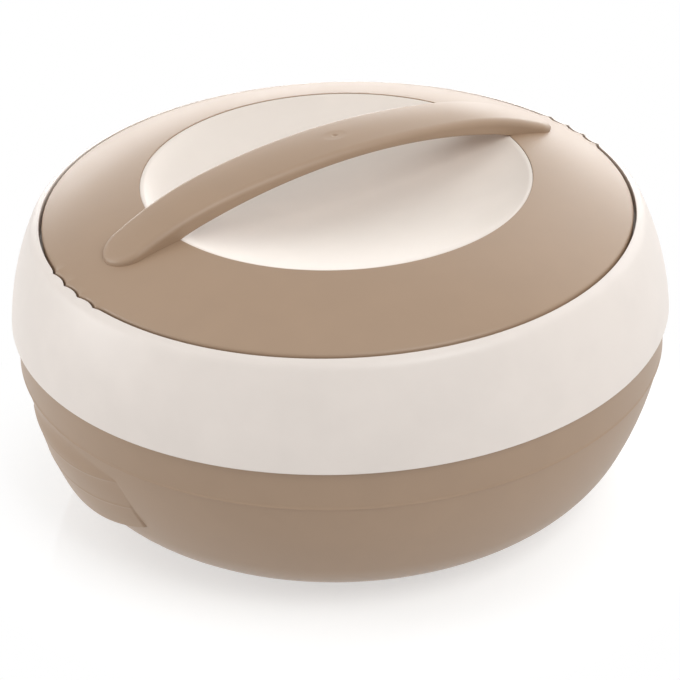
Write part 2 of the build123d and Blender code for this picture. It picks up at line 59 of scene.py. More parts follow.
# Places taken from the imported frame. Radii are measured from the pot's axis, which is the Z axis.
SHELL_LOW, SHELL_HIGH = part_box("base_shell")
COLLAR_LOW, COLLAR_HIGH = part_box("collar")
RING_LOW, RING_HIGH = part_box("lid_ring")
HANDLE_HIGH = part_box("lid_handle")[1]
DISH_TOP_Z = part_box("lid_dish")[1].z
PLUG_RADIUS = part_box("filling_plug")[1].x
FLOOR_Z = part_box("rubber_feet")[0].z

SHELL_FLOOR_Z = SHELL_LOW.z
SPIGOT_TOP_Z = SHELL_HIGH.z
COLLAR_Z = COLLAR_LOW.z
COLLAR_TOP_Z = COLLAR_HIGH.z
LID_RADIUS = RING_HIGH.y
CROWN_Z = RING_HIGH.z
SKIRT_Z = RING_LOW.z
HANDLE_TOP_Z = HANDLE_HIGH.z
HANDLE_REACH = HANDLE_HIGH.x
HANDLE_HALF_WIDTH = HANDLE_HIGH.y


def length(millimetres, name, description):
    """A size that a user can change, given here in millimetres."""
    default = millimetres * MM
    return FloatProperty(name=name, description=description, default=default, unit="LENGTH", precision=5)


def angle(degrees, name, description):
    """An angle that a user can change, given here in degrees."""
    return FloatProperty(name=name, description=description, default=math.radians(degrees), subtype="ANGLE")


def share(default, name, description):
    """A plain number between nought and one."""
    return FloatProperty(name=name, description=description, default=default, min=0, max=1, subtype="FACTOR")


def strength(default, name, description):
    """A plain number of nought or more."""
    return FloatProperty(name=name, description=description, default=default, min=0)


def watts(default, name, description):
    """The power of a lamp."""
    return FloatProperty(name=name, description=description, default=default, min=0, unit="POWER")


def colour(default, name, description):
    """A linear colour."""
    limits = {"min": 0, "max": 1}
    return FloatVectorProperty(name=name, description=description, default=default, subtype="COLOR", **limits)


class ShellSizes(bpy.types.PropertyGroup):
    """Lower bowl with its step and grips."""

    wall: length(2.8, "Wall", "Thickness of the shell")
    shoulder_z: length(85.7, "Shoulder height", "Height of the shoulder under the collar")
    band_radius: length(147.0, "Band radius", "Radius at the shoulder")
    band_height: length(18.4, "Band height", "Plain band between step and shoulder")
    band_taper: length(1.0, "Band taper", "How far the band leans in towards the step")
    step: length(0.35, "Step", "How far the band stands out over the round wall")
    step_rounding: length(0.45, "Step rounding", "Rounding of the step's edges")
    bead: length(0.3, "Bead", "How far the bead along the step stands out over the band")
    bead_height: length(1.3, "Bead height", "Height of the bead along the step")
    floor_inset: length(52.0, "Floor inset", "Step to the edge of the flat bottom")
    corner: length(43.5, "Corner radius", "Arc between flat bottom and round wall")
    belly: length(150.0, "Belly radius", "Arc of the round wall")
    spigot_inner: length(142.2, "Spigot inside", "Inside of the rim that centres the collar")
    spigot_outer: length(144.6, "Spigot outside", "Outside of the rim that centres the collar")
    spigot_root: length(5.7, "Spigot root", "Depth of the rim's root below the shoulder")
    grip_ramp_drop: length(3.3, "Grip ramp", "Step down to the upper end of the ramp into the grip")
    grip_line_drop: length(13.3, "Grip line", "Step down to the fine line along the top of the grip")
    grip_ridge_drop: length(27.2, "Grip ridge", "Step down to the second fine line across the grip")
    grip_low_drop: length(42.0, "Grip low edge", "Step down to the lowest point of the lower edge")
    grip_sag: length(4.5, "Grip sag", "How much higher both fine lines are at the grip's ends")
    grip_arch: length(8.5, "Grip arch", "Rise of the lower edge at its ends")
    grip_top_angle: angle(16.0, "Grip half angle, top", "Half of the upper line, seen from the axis")
    grip_bottom_angle: angle(18.3, "Grip half angle, bottom", "Half of the lower edge, seen from the axis")
    grip_top_out: length(3.3, "Grip stand-out, top", "How far its middle stands out at its upper line")
    grip_bottom_out: length(5.1, "Grip stand-out, bottom", "How far its middle stands out at its lower edge")
    grip_axis: length(46.0, "Grip axis, bottom", "Axis of the lower edge's arc, off the pot's axis")
    grip_top_axis: length(56.0, "Grip axis, top", "Axis of the upper line's arc, off the pot's axis")
    grip_corner: length(7.0, "Grip corner", "Rounding of the grip's upper corners")
    grip_edge: length(0.8, "Grip edge", "Width over which the grip's sides roll down to the wall")
    grip_ridge: length(0.22, "Grip line height", "Height of the two fine lines")
    grip_ridge_width: length(0.55, "Grip line width", "Half width of the two fine lines")


class CollarSizes(bpy.types.PropertyGroup):
    """Wide cream ring."""

    wall: length(2.6, "Wall", "Thickness of the collar")
    radius: length(148.48, "Radius", "Radius at the lower edge")
    bulge: length(123.0, "Bulge radius", "Arc of the outer face, in section")
    top_width: length(3.4, "Top width", "Rim before its outer corner is rounded")
    top_fall: length(0.9, "Top fall", "How far the rim falls off outwards")
    top_rounding: length(3.1, "Top rounding", "Rounding on each side of the outer corner")
    lip_rounding: length(0.5, "Lip rounding", "Rounding of the lower edge")
    mouth_rounding: length(0.3, "Mouth rounding", "Rounding of the mouth's edge")
    ledge_radius: length(124.0, "Ledge radius", "Inner edge of the ledge under the lid")
    ledge_z: length(125.0, "Ledge height", "Top of the ledge")
    ledge: length(2.5, "Ledge thickness", "Thickness of the ledge")
    socket: length(144.9, "Socket radius", "Inside of the collar's lower edge")
    shoulder_z: length(93.0, "Inner shoulder", "Height at which the collar stands on the spigot")
    shoulder: length(2.5, "Shoulder thickness", "Thickness of the inner shoulder")


class LidSizes(bpy.types.PropertyGroup):
    """Domed ring and dish."""

    gap: length(1.35, "Gap", "Gap between lid and collar")
    wall: length(2.5, "Wall", "Thickness of the ring")
    hole_radius: length(86.85, "Hole radius", "Rim of the ring round the dish")
    crown_radius: length(142.0, "Crown radius", "Arc of the domed ring, in section")
    crown_drop: length(14.8, "Crown drop", "Rim of the dish to the lid's edge, before rounding")
    edge_rounding: length(1.3, "Edge rounding", "Rounding on each side of the lid's edge")
    rim_rounding: length(0.3, "Rim rounding", "Rounding of the rim round the dish")
    plate_z: length(127.3, "Seat height", "Height at which the under ring seats")
    rib_radius: length(126.5, "Seat radius", "Inside of the rib that the under ring seats on")
    seat_radius: length(84.0, "Dish seat radius", "Inner edge of the ledge that carries the dish")
    seat_z: length(135.0, "Dish seat height", "Top of the ledge that carries the dish")
    seat: length(2.0, "Dish seat thickness", "Thickness of the ledge that carries the dish")
    scoop_count: IntProperty(name="Scoops", description="Round hollows at each keyed end", default=5, min=1)
    scoop_pitch: angle(5.2, "Scoop pitch", "Angle from one scoop to the next")
    scoop_radius: length(15.0, "Scoop radius", "Radius of the hollows between the teeth")
    tooth: length(1.3, "Tooth height", "Height of the teeth")
    notch: length(0.9, "Notch depth", "Depth of the collar's notches")
    key_gap: length(0.95, "Key gap", "Gap between the teeth and the collar's notches")
    dish_wall: length(2.2, "Dish wall", "Thickness of the dish")
    dish_lip: length(1.3, "Dish lip", "Lip round the hollow, before its edge is rounded")
    dish_lip_rounding: length(1.0, "Dish lip rounding", "Rounding from the lip into the hollow")
    dish_seam: length(0.1, "Dish seam", "Gap between dish and ring")
    dish_wall_run: length(4.6, "Dish wall run", "Width of the short steep wall")
    dish_wall_depth: length(2.7, "Dish wall depth", "Height of the short steep wall")
    dish_blend: length(4.2, "Dish blend", "Rounding where the steep wall meets the hollow")
    dish_depth: length(14.5, "Dish depth", "Rim of the ring to the lowest point of the hollow")


class HandleSizes(bpy.types.PropertyGroup):
    """Arched strap."""

    end_half_width: length(11.4, "End half width", "Half the width where the round ends begin")
    end_length: length(9.0, "End length", "Length of each round end")
    crown_radius: length(375.0, "Arch radius", "Arc of the strap's middle, in side view")
    crown_half: length(60.0, "Arch half length", "Half the length of the flatter middle")
    thickness: length(5.5, "Thickness", "Thickness in the middle")
    tip: length(2.6, "Tip thickness", "Thickness at the very ends")
    camber: length(0.9, "Camber", "How much higher the middle line is than the long edges")
    edge: length(2.8, "Edge radius", "Rounding of the upper edges")
    under_edge: length(0.9, "Lower edge radius", "Rounding of the lower edges")
    gate_length: length(6.5, "Mark length", "Half the length of the shallow mark in the middle")
    gate_width: length(4.5, "Mark width", "Half the width of the shallow mark")
    gate_depth: length(0.18, "Mark depth", "Depth of the shallow mark")
    pip_radius: length(1.6, "Pip radius", "Radius of the small pit in the mark")
    pip_depth: length(0.5, "Pip depth", "Depth of the small pit in the mark")


class Finishes(bpy.types.PropertyGroup):
    """Colours and surface of the materials."""

    tan: colour((0.380, 0.262, 0.175), "Tan", "Tan plastic")
    cream: colour((0.822, 0.750, 0.694), "Cream", "Cream plastic")
    # The dish's cream is a little warmer than the collar's: painted bounce light from the tan ring, on the same
    # cream plastic.
    dish: colour((0.822, 0.744, 0.673), "Warm cream", "Cream plastic of the dish, warmed to paint bounce light from the tan")
    steel: colour((0.66, 0.655, 0.65), "Steel", "Stainless steel")
    silicone: colour((0.72, 0.71, 0.69), "Silicone", "Seal and gasket")
    foot: colour((0.09, 0.08, 0.075), "Rubber", "Feet")
    foam: colour((0.80, 0.70, 0.42), "Foam", "Insulation")
    tan_roughness: share(0.41, "Tan roughness", "Roughness of the tan plastic")
    cream_roughness: share(0.40, "Cream roughness", "Roughness of the cream plastic")
    silicone_roughness: share(0.55, "Silicone roughness", "Roughness of seal and gasket")
    foot_roughness: share(0.7, "Rubber roughness", "Roughness of the feet")


class StageSettings(bpy.types.PropertyGroup):
    """Camera, floor, world and lamps."""

    azimuth: angle(-31.8, "Azimuth", "Direction of the camera; nought looks along +Y")
    stand_off: length(990.99, "Stand-off", "Level distance from the pot's axis to the camera")
    camera_side: length(-0.56, "Camera side", "Camera's offset to the right of the axis")
    camera_height: length(642.18, "Camera height", "Height of the camera over the floor")
    aim_height: length(62.33, "Aim height", "Height over the floor that the camera aims at")
    roll: angle(1.818, "Roll", "Turn of the camera round its line of sight")
    lens: FloatProperty(name="Lens", description="Focal length in millimetres", default=132.35, min=10)
    floor_size: length(6000.0, "Floor size", "Width of the floor")
    ambient: strength(0.28, "Ambient", "Even light all round")
    floor_glow: strength(0.60, "Floor glow", "Part of the floor's shown white that takes no shadow")
    floor_shadow: colour((0.585, 0.60, 0.605), "Floor shadow", "Part of the floor's white that takes shadow")
    floor_bounce: share(0.86, "Floor bounce", "How much light the floor throws back")
    floor_light: strength(0.07, "Floor light", "Light from below, through the floor")
    floor_mirror: share(0.08, "Floor mirror", "Strength of the floor's faint mirror image")
    mirror_blur: share(0.05, "Mirror blur", "Roughness of the floor's mirror image")
    mirror_start: length(120, "Mirror start", "Radius where the mirror image begins to fade")
    mirror_end: length(200, "Mirror end", "Radius where the mirror image is gone")
    white_start: length(130, "White start", "Radius where the floor begins to turn white")
    white_end: length(195, "White end", "Radius where the floor is plain white")
    lamp_distance: length(2200.0, "Lamp distance", "Middle of the floor to each lamp")
    back: watts(20.0, "Back lamp", "Low and wide, behind the pot")
    right: watts(19.5, "Right lamp", "Large, on the right and behind")
    left: watts(15.5, "Left lamp", "Low, on the left")
    high_left: watts(5.5, "High left lamp", "Steep, on the left")
    high_front: watts(21.5, "High front lamp", "Steep, from the camera's right")
    top: watts(4.2, "Top lamp", "Straight above")


# Outlines

# A corner: its radius and height, the length of its rounding on each side, and the bulge and number of steps of
# the stretch to the next one
Corner = namedtuple("Corner", "radius height rounding bulge steps", defaults=(0.0, 0.0, 1))
ROUNDING_STEPS = 6
FINE_ROUNDING = 0.3 * MM
TINY = 0.01 * MM

# Pitch of the turned points: everywhere, on teeth and edges, and on the grips
EVEN_TURN = math.radians(1.5)
FINE_TURN = math.radians(0.2)
GRIP_TURN = math.radians(0.75)

SHARP_ANGLE = math.radians(40)
JOIN_DISTANCE = 1e-7


def arc_radius(half, rise):
    """Radius of an arc with half its chord and its rise."""
    return (half ** 2 + rise ** 2) / (2 * rise)


def arc_rise(radius, away):
    """How far a circle's edge lies from its centre line, at a distance from its middle."""
    return np.sqrt(np.maximum(radius ** 2 - away ** 2, 0))


def arc_centre(start, end, radius):
    """Centre of an arc that bulges to the left of its way, or to the right if its radius is negative."""
    start, end = Vector(start), Vector(end)
    chord = end - start
    left = Vector((-chord.y, chord.x)).normalized() * math.copysign(1, radius)
    reach = math.sqrt(radius ** 2 - chord.length_squared / 4)
    return (start + end) / 2 - left * reach


class Span:
    """A straight or bulging stretch between two corners."""

    def __init__(self, start, end, bulge):
        self.start = Vector(start)
        self.end = Vector(end)
        self.bulge = bulge
        self.length = (self.end - self.start).length
        if bulge:
            self.centre = arc_centre(start, end, bulge)
            self.first = math.atan2(*reversed(self.start - self.centre))
            turn = math.atan2(*reversed(self.end - self.centre)) - self.first
            self.turn = (turn + math.pi) % (2 * math.pi) - math.pi
            self.length = abs(self.turn * bulge)

    def at(self, part):
        """Point at a share of the way."""
        if not self.bulge:
            return self.start.lerp(self.end, part)
        way = self.first + self.turn * part
        return self.centre + Vector((math.cos(way), math.sin(way))) * abs(self.bulge)


def trace(corners):
    """Closed outline through the corners, with their roundings and bulges worked in."""
    spans = []
    for index, corner in enumerate(corners):
        after = corners[(index + 1) % len(corners)]
        spans.append(Span((corner.radius, corner.height), (after.radius, after.height), corner.bulge))
    points = []
    for index, corner in enumerate(corners):
        here, before = spans[index], spans[index - 1]
        after = corners[(index + 1) % len(corners)]
        tip = Vector((corner.radius, corner.height))
        if corner.rounding:
            start = before.at(1 - corner.rounding / before.length)
            end = here.at(corner.rounding / here.length)
            for step in range(ROUNDING_STEPS + 1):
                part = step / ROUNDING_STEPS
                points.append(start.lerp(tip, part).lerp(tip.lerp(end, part), part))
        else:
            points.append(tip)
        first = corner.rounding / here.length
        last = 1 - after.rounding / here.length
        for step in range(1, corner.steps):
            points.append(here.at(first + (last - first) * step / corner.steps))
    return np.array([tuple(point) for point in points])


def turn_angles(zones=()):
    """Angles round the axis, finer inside the zones, each given as its middle, half width and pitch."""
    angles = list(np.arange(0, 2 * math.pi - EVEN_TURN / 2, EVEN_TURN))
    for middle, half, fine in zones:
        angles = [a for a in angles if abs((a - middle + math.pi) % (2 * math.pi) - math.pi) > half + fine / 2]
        count = round(half / fine)
        angles += [(middle + fine * step) % (2 * math.pi) for step in range(-count, count + 1)]
    return np.array(sorted(angles))


def off_axis(turn):
    """Signed angle from the nearer end of the handle's line."""
    return (turn + math.pi / 2) % math.pi - math.pi / 2


# Meshes


def grid_faces(rows, columns):
    """Quads of a grid that closes on itself both ways."""
    row = np.arange(rows)[:, None]
    column = np.arange(columns)[None, :]
    next_row = (row + 1) % rows
    next_column = (column + 1) % columns
    cycle = ((row, column), (next_row, column), (next_row, next_column), (row, next_column))
    return np.stack([at_row * columns + at_column for at_row, at_column in cycle], axis=-1).reshape(-1, 4)


def mesh_object(name, points, faces):
    """Smooth-shaded object, with coinciding points joined and hard edges kept where it turns sharply."""
    mesh = bpy.data.meshes.new(name)
    mesh.from_pydata(points.tolist(), [], faces.tolist())
    shape = bmesh.new()
    shape.from_mesh(mesh)
    bmesh.ops.remove_doubles(shape, verts=shape.verts, dist=JOIN_DISTANCE)
    bmesh.ops.recalc_face_normals(shape, faces=shape.faces)
    shape.to_mesh(mesh)
    shape.free()
    mesh.validate()
    mesh.shade_smooth()
    mesh.set_sharp_from_angle(angle=SHARP_ANGLE)
    made = bpy.data.objects.new(name, mesh)
    bpy.context.scene.collection.objects.link(made)
    return made


def lathe(name, corners, angles=None, shift=None):
    """Piece turned from a closed outline, whose points shift(radius, height, turn) may move."""
    outline = trace(corners)
    angles = turn_angles() if angles is None else angles
    radius, turn = np.meshgrid(outline[:, 0], angles)
    height = np.meshgrid(outline[:, 1], angles)[0]
    if shift is not None:
        radius, height, turn = shift(radius, height, turn)
    points = np.stack([radius * np.cos(turn), radius * np.sin(turn), height], axis=-1).reshape(-1, 3)
    return mesh_object(name, points, grid_faces(len(angles), len(outline)))


def smooth(value, low, high):
    """Smooth rise from nought at low to one at high."""
    part = np.clip((value - low) / (high - low), 0, 1)
    return part * part * (3 - 2 * part)


def place(piece, body, finish, node):
    """Puts a finished piece on its body, in place of the named CAD node."""
    piece.data.materials.append(material(finish))
    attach(piece, body)
    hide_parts(node)


# Shaders


class Value:
    """A shader socket that can be used in Python arithmetic."""

    def __init__(self, shader, socket):
        self.shader = shader
        self.socket = socket

    def maths(self, operation, *others):
        """A Math node on this value and the others."""
        return self.shader.add("ShaderNodeMath", {"operation": operation}, dict(enumerate((self,) + others)))

    def __add__(self, other):
        return self.maths("ADD", other)

    def __sub__(self, other):
        return self.maths("SUBTRACT", other)

    def __mul__(self, other):
        return self.maths("MULTIPLY", other)

    def __pow__(self, other):
        return self.maths("POWER", other)

    def __rsub__(self, other):
        return self.shader.add("ShaderNodeMath", {"operation": "SUBTRACT"}, {0: other, 1: self})

    __radd__ = __add__
    __rmul__ = __mul__

    def rise(self, low, high):
        """Smooth rise from nought at low to one at high."""
        settings = {"interpolation_type": "SMOOTHSTEP"}
        inputs = {"Value": self, "From Min": low, "From Max": high}
        return self.shader.add("ShaderNodeMapRange", settings, inputs)


class Shader:
    """The nodes of one material or world."""

    def __init__(self, owner):
        owner.use_nodes = True
        self.owner = owner
        self.tree = owner.node_tree
        self.tree.nodes.clear()

    def add(self, kind, settings=None, inputs=None, output=0):
        """Any node: its settings first, then the values or links of its sockets."""
        node = self.tree.nodes.new(kind)
        for name, setting in (settings or {}).items():
            setattr(node, name, setting)
        for name, given in (inputs or {}).items():
            socket = node.inputs[name]
            if isinstance(given, Value):
                self.tree.links.new(given.socket, socket)
            elif socket.type == "RGBA":
                socket.default_value = (*given, 1)
            else:
                socket.default_value = given
        if isinstance(output, tuple):
            return [Value(self, node.outputs[name]) for name in output]
        return Value(self, node.outputs[output]) if len(node.outputs) else None

    def object_place(self):
        """Where a point lies on the piece, in metres."""
        return self.add("ShaderNodeTexCoord", output="Object")

    def parts(self, vector):
        """The three coordinates of a vector."""
        return self.add("ShaderNodeSeparateXYZ", {}, {0: vector}, ("X", "Y", "Z"))

    def light_path(self):
        """Whether a ray comes from the camera, through glass or off something glossy."""
        paths = ("Is Camera Ray", "Is Transmission Ray", "Is Glossy Ray")
        return self.add("ShaderNodeLightPath", {}, {}, paths)

    def noise(self, vector, scale, detail=2.0, roughness=0.5):
        """Soft noise, as a value between nought and one."""
        inputs = {"Vector": vector, "Scale": scale, "Detail": detail, "Roughness": roughness}
        return self.add("ShaderNodeTexNoise", {}, inputs)

    def mix(self, part, first, second):
        """Blend of two colours."""
        settings = {"data_type": "RGBA"}
        return self.add("ShaderNodeMix", settings, {"Factor": part, 6: first, 7: second}, output=2)

    def bump(self, height, distance, strength):
        """A normal for fine relief."""
        return self.add("ShaderNodeBump", {}, {"Height": height, "Distance": distance, "Strength": strength})

    def principled(self, **inputs):
        """Closes the tree with a Principled surface and returns the material."""
        sockets = {name.replace("_", " "): given for name, given in inputs.items()}
        surface = self.add("ShaderNodeBsdfPrincipled", {}, sockets)
        self.add("ShaderNodeOutputMaterial", {}, {"Surface": surface})
        return self.owner


PLASTIC_IOR = 1.49
SILICONE_IOR = 1.41
RINGS_PER_METRE = 900.0
RING_DRIFT = 6.0
FOAM_CELLS_PER_METRE = 700.0
ZINC_DARK = (0.42, 0.43, 0.44)
ZINC_LIGHT = (0.60, 0.60, 0.58)


def new_shader(name):
    """Nodes of a new material."""
    return Shader(bpy.data.materials.new(name))


def scaled(shade, factor):
    """The same hue, lighter or darker."""
    return tuple(min(1.0, part * factor) for part in shade)


def moulded_plastic(name, shade, roughness):
    """Satin moulded plastic: fine spark-eroded grain, faint flow clouds and slightly uneven gloss."""
    shader = new_shader(name)
    where = shader.object_place()
    clouds = shader.noise(where, scale=9.0, detail=3.0)
    flow = shader.noise(where, scale=55.0)
    grain = shader.noise(where, scale=2600.0, detail=1.0)
    pores = shader.noise(where, scale=900.0)
    tone = clouds * 0.6 + flow * 0.4
    base = shader.mix(tone.rise(0.35, 0.65), scaled(shade, 0.975), scaled(shade, 1.02))
    gloss = roughness - 0.03 + 0.06 * flow + 0.03 * pores
    normal = shader.bump(grain * 0.6 + pores * 0.4, distance=0.012 * MM, strength=0.5)
    return shader.principled(Base_Color=base, Roughness=gloss, Normal=normal, IOR=PLASTIC_IOR)


def spun_steel(name, shade):
    """Stainless steel with the fine rings of spinning and polishing."""
    shader = new_shader(name)
    where = shader.object_place()
    across, along, up = shader.parts(where)
    from_axis = (across * across + along * along) ** 0.5
    turned = {"X": from_axis * RINGS_PER_METRE, "Y": up * RINGS_PER_METRE, "Z": along * RING_DRIFT}
    rings = shader.add("ShaderNodeCombineXYZ", {}, turned)
    lines = shader.noise(rings, scale=2.0, detail=3.0, roughness=0.6)
    clouds = shader.noise(where, scale=30.0, detail=3.0)
    base = shader.mix(lines, scaled(shade, 0.94), scaled(shade, 1.05))
    gloss = 0.20 + 0.10 * lines + 0.05 * clouds
    normal = shader.bump(lines, distance=0.006 * MM, strength=0.4)
    return shader.principled(Base_Color=base, Roughness=gloss, Metallic=1.0, Normal=normal)


def plated_steel(name):
    """Zinc-plated screws and washers, in cloudy greys."""
    shader = new_shader(name)
    clouds = shader.noise(shader.object_place(), scale=400.0, detail=3.0)
    base = shader.mix(clouds, ZINC_DARK, ZINC_LIGHT)
    return shader.principled(Base_Color=base, Roughness=0.25 + 0.15 * clouds, Metallic=1.0)


def soft_rubber(name, shade, roughness):
    """Silicone or rubber: matte, with dust-fine speckle and slight clouds."""
    shader = new_shader(name)
    where = shader.object_place()
    clouds = shader.noise(where, scale=60.0, detail=3.0)
    speckle = shader.noise(where, scale=1800.0)
    base = shader.mix(clouds, scaled(shade, 0.93), scaled(shade, 1.06))
    gloss = roughness + 0.08 * speckle
    normal = shader.bump(speckle, distance=0.02 * MM, strength=0.6)
    return shader.principled(Base_Color=base, Roughness=gloss, Normal=normal, IOR=SILICONE_IOR)


def poured_foam(name, shade):
    """Rigid poured foam: fine open cells under a slightly darker skin."""
    shader = new_shader(name)
    where = shader.object_place()
    cells = shader.add("ShaderNodeTexVoronoi", {}, {"Vector": where, "Scale": FOAM_CELLS_PER_METRE})
    clouds = shader.noise(where, scale=25.0, detail=4.0)
    base = shader.mix(cells.rise(0.1, 0.7), scaled(shade, 0.82), scaled(shade, 1.06))
    tinted = shader.mix(clouds * 0.3, base, scaled(shade, 0.8))
    normal = shader.bump(cells, distance=0.3 * MM, strength=0.7)
    return shader.principled(Base_Color=tinted, Roughness=0.9, Normal=normal)


def material(name):
    """A finished material by its name, made once."""
    made = bpy.data.materials.get(name)
    if made is not None:
        return made
    finish = bpy.context.scene.warmer_finishes
    makers = {
        "tan plastic": (moulded_plastic, finish.tan, finish.tan_roughness),
        "cream plastic": (moulded_plastic, finish.cream, finish.cream_roughness),
        # The dish's copy of the cream plastic is warmed to paint bounce light from the tan ring.
        "warm cream plastic": (moulded_plastic, finish.dish, finish.cream_roughness),
        "spun steel": (spun_steel, finish.steel),
        "plated steel": (plated_steel,),
        "silicone": (soft_rubber, finish.silicone, finish.silicone_roughness),
        "foot rubber": (soft_rubber, finish.foot, finish.foot_roughness),
        "foam": (poured_foam, finish.foam),
    }
    maker, *choices = makers[name]
    return maker(name, *choices)


# Shapes of the pieces

PAD_REACH = 1.6  # half width of the wall that is redrawn round a grip, against the grip's own
PAD_FADE = 1.1  # where the arches of its rows begin to fade, against the grip's half width
PAD_FOOT = (-0.1 * MM, 0.6 * MM)  # heights from the lower edge over which the grip comes out of the wall
PAD_ROW = 1.2 * MM  # height of the close rows above and below the lower edge
PAD_EDGE_TURN = 2.4 * EVEN_TURN  # half angle of the close columns along each side
RIDGE_ROWS = 3  # half height of the close rows at a fine line, in half widths of the line
STEP_HALF = 0.15 * MM  # half height of the slope between wall and band
STEP_ROUNDING = 0.12 * MM
PLUG_OVERLAP = 2.0 * MM  # how far the plug's head reaches past its hole
LEDGE_ROUNDING = 0.5 * MM
DISH_ROUNDING = 0.2 * MM
# Where the collar's notches fade out on the ledge and the rim, and the lid's teeth inside its skirt
LEDGE_STRETCH = 4.0 * MM
MOUTH_STRETCH = 0.5 * MM
RIM_STRETCH = (0.4 * MM, 1.6 * MM)
SKIRT_STRETCH = 1.0 * MM
TOOTH_FACE = 0.6 * MM


class Belly:
    """The shell's round wall: a corner arc that runs smoothly into a wider belly arc below the step."""

    def __init__(self, sizes, radius, height):
        self.sizes = sizes
        self.top = height
        self.corner = Vector((radius - sizes.floor_inset, SHELL_FLOOR_Z + sizes.corner))
        across = Vector((radius, height)) - self.corner
        spread = sizes.belly - sizes.corner
        along = (spread ** 2 - sizes.belly ** 2 + across.length_squared) / (2 * across.length)
        unit = across.normalized()
        aside = Vector((-unit.y, unit.x)) * math.sqrt(spread ** 2 - along ** 2)
        self.belly = self.corner + unit * along + aside
        outward = (self.corner - self.belly).normalized()
        self.meeting = self.corner + outward * sizes.corner
        self.inner_meeting = self.corner + outward * (sizes.corner - sizes.wall)

    def radius(self, height, inset=0.0):
        """Radius of the wall at a height between the flat bottom and the step."""
        height = np.clip(height, SHELL_FLOOR_Z + inset, self.top)
        wide = self.belly.x + arc_rise(self.sizes.belly - inset, height - self.belly.y)
        tight = self.corner.x + arc_rise(self.sizes.corner - inset, np.minimum(height - self.corner.y, 0))
        return np.where(height < self.meeting.y, tight, wide)

    def corners(self, stops):
        """Corners of the outline up the wall: each height and the number of steps to the next one."""
        found = []
        for height, steps in stops:
            bulge = self.sizes.corner if height < self.meeting.y - TINY else self.sizes.belly
            found.append(Corner(float(self.radius(height)), height, 0, -bulge, steps))
        return found


def edge_distance(first, second, rounding):
    """Depth inside two edges whose corner is rounded."""
    inward = np.minimum(first, second)
    near_corner = (first < rounding) & (second < rounding)
    from_centre = np.hypot(np.maximum(rounding - first, 0), np.maximum(rounding - second, 0))
    return np.where(near_corner, rounding - from_centre, inward)


def scalloped(turn, lid, scoop_radius, flat, tip):
    """Radius of a toothed edge: round scoops inside the keyed ends, and plain round outside them."""
    half = lid.scoop_pitch * (lid.scoop_count - 1) / 2
    away = off_axis(turn)
    scoop = np.round((away + half) / lid.scoop_pitch) * lid.scoop_pitch - half
    beside = (LID_RADIUS + lid.scoop_radius) * np.sin(away - scoop)
    ahead = (LID_RADIUS + lid.scoop_radius) * np.cos(away - scoop)
    inside = ahead - arc_rise(scoop_radius, beside)
    keyed = np.abs(away) <= half + FINE_TURN / 4
    return np.where(keyed, np.minimum(inside, tip), flat)


def key_zones(lid):
    """The two keyed ends, for finer turning."""
    half = lid.scoop_pitch * lid.scoop_count / 2
    return [(end, half, FINE_TURN) for end in (0.0, math.pi)]


def crown_height(lid, radius, inset=0.0):
    """Height of the domed ring at a radius."""
    start = (lid.hole_radius, CROWN_Z)
    end = (LID_RADIUS, CROWN_Z - lid.crown_drop)
    centre = arc_centre(start, end, lid.crown_radius)
    return centre.y + arc_rise(lid.crown_radius - inset, radius - centre.x)


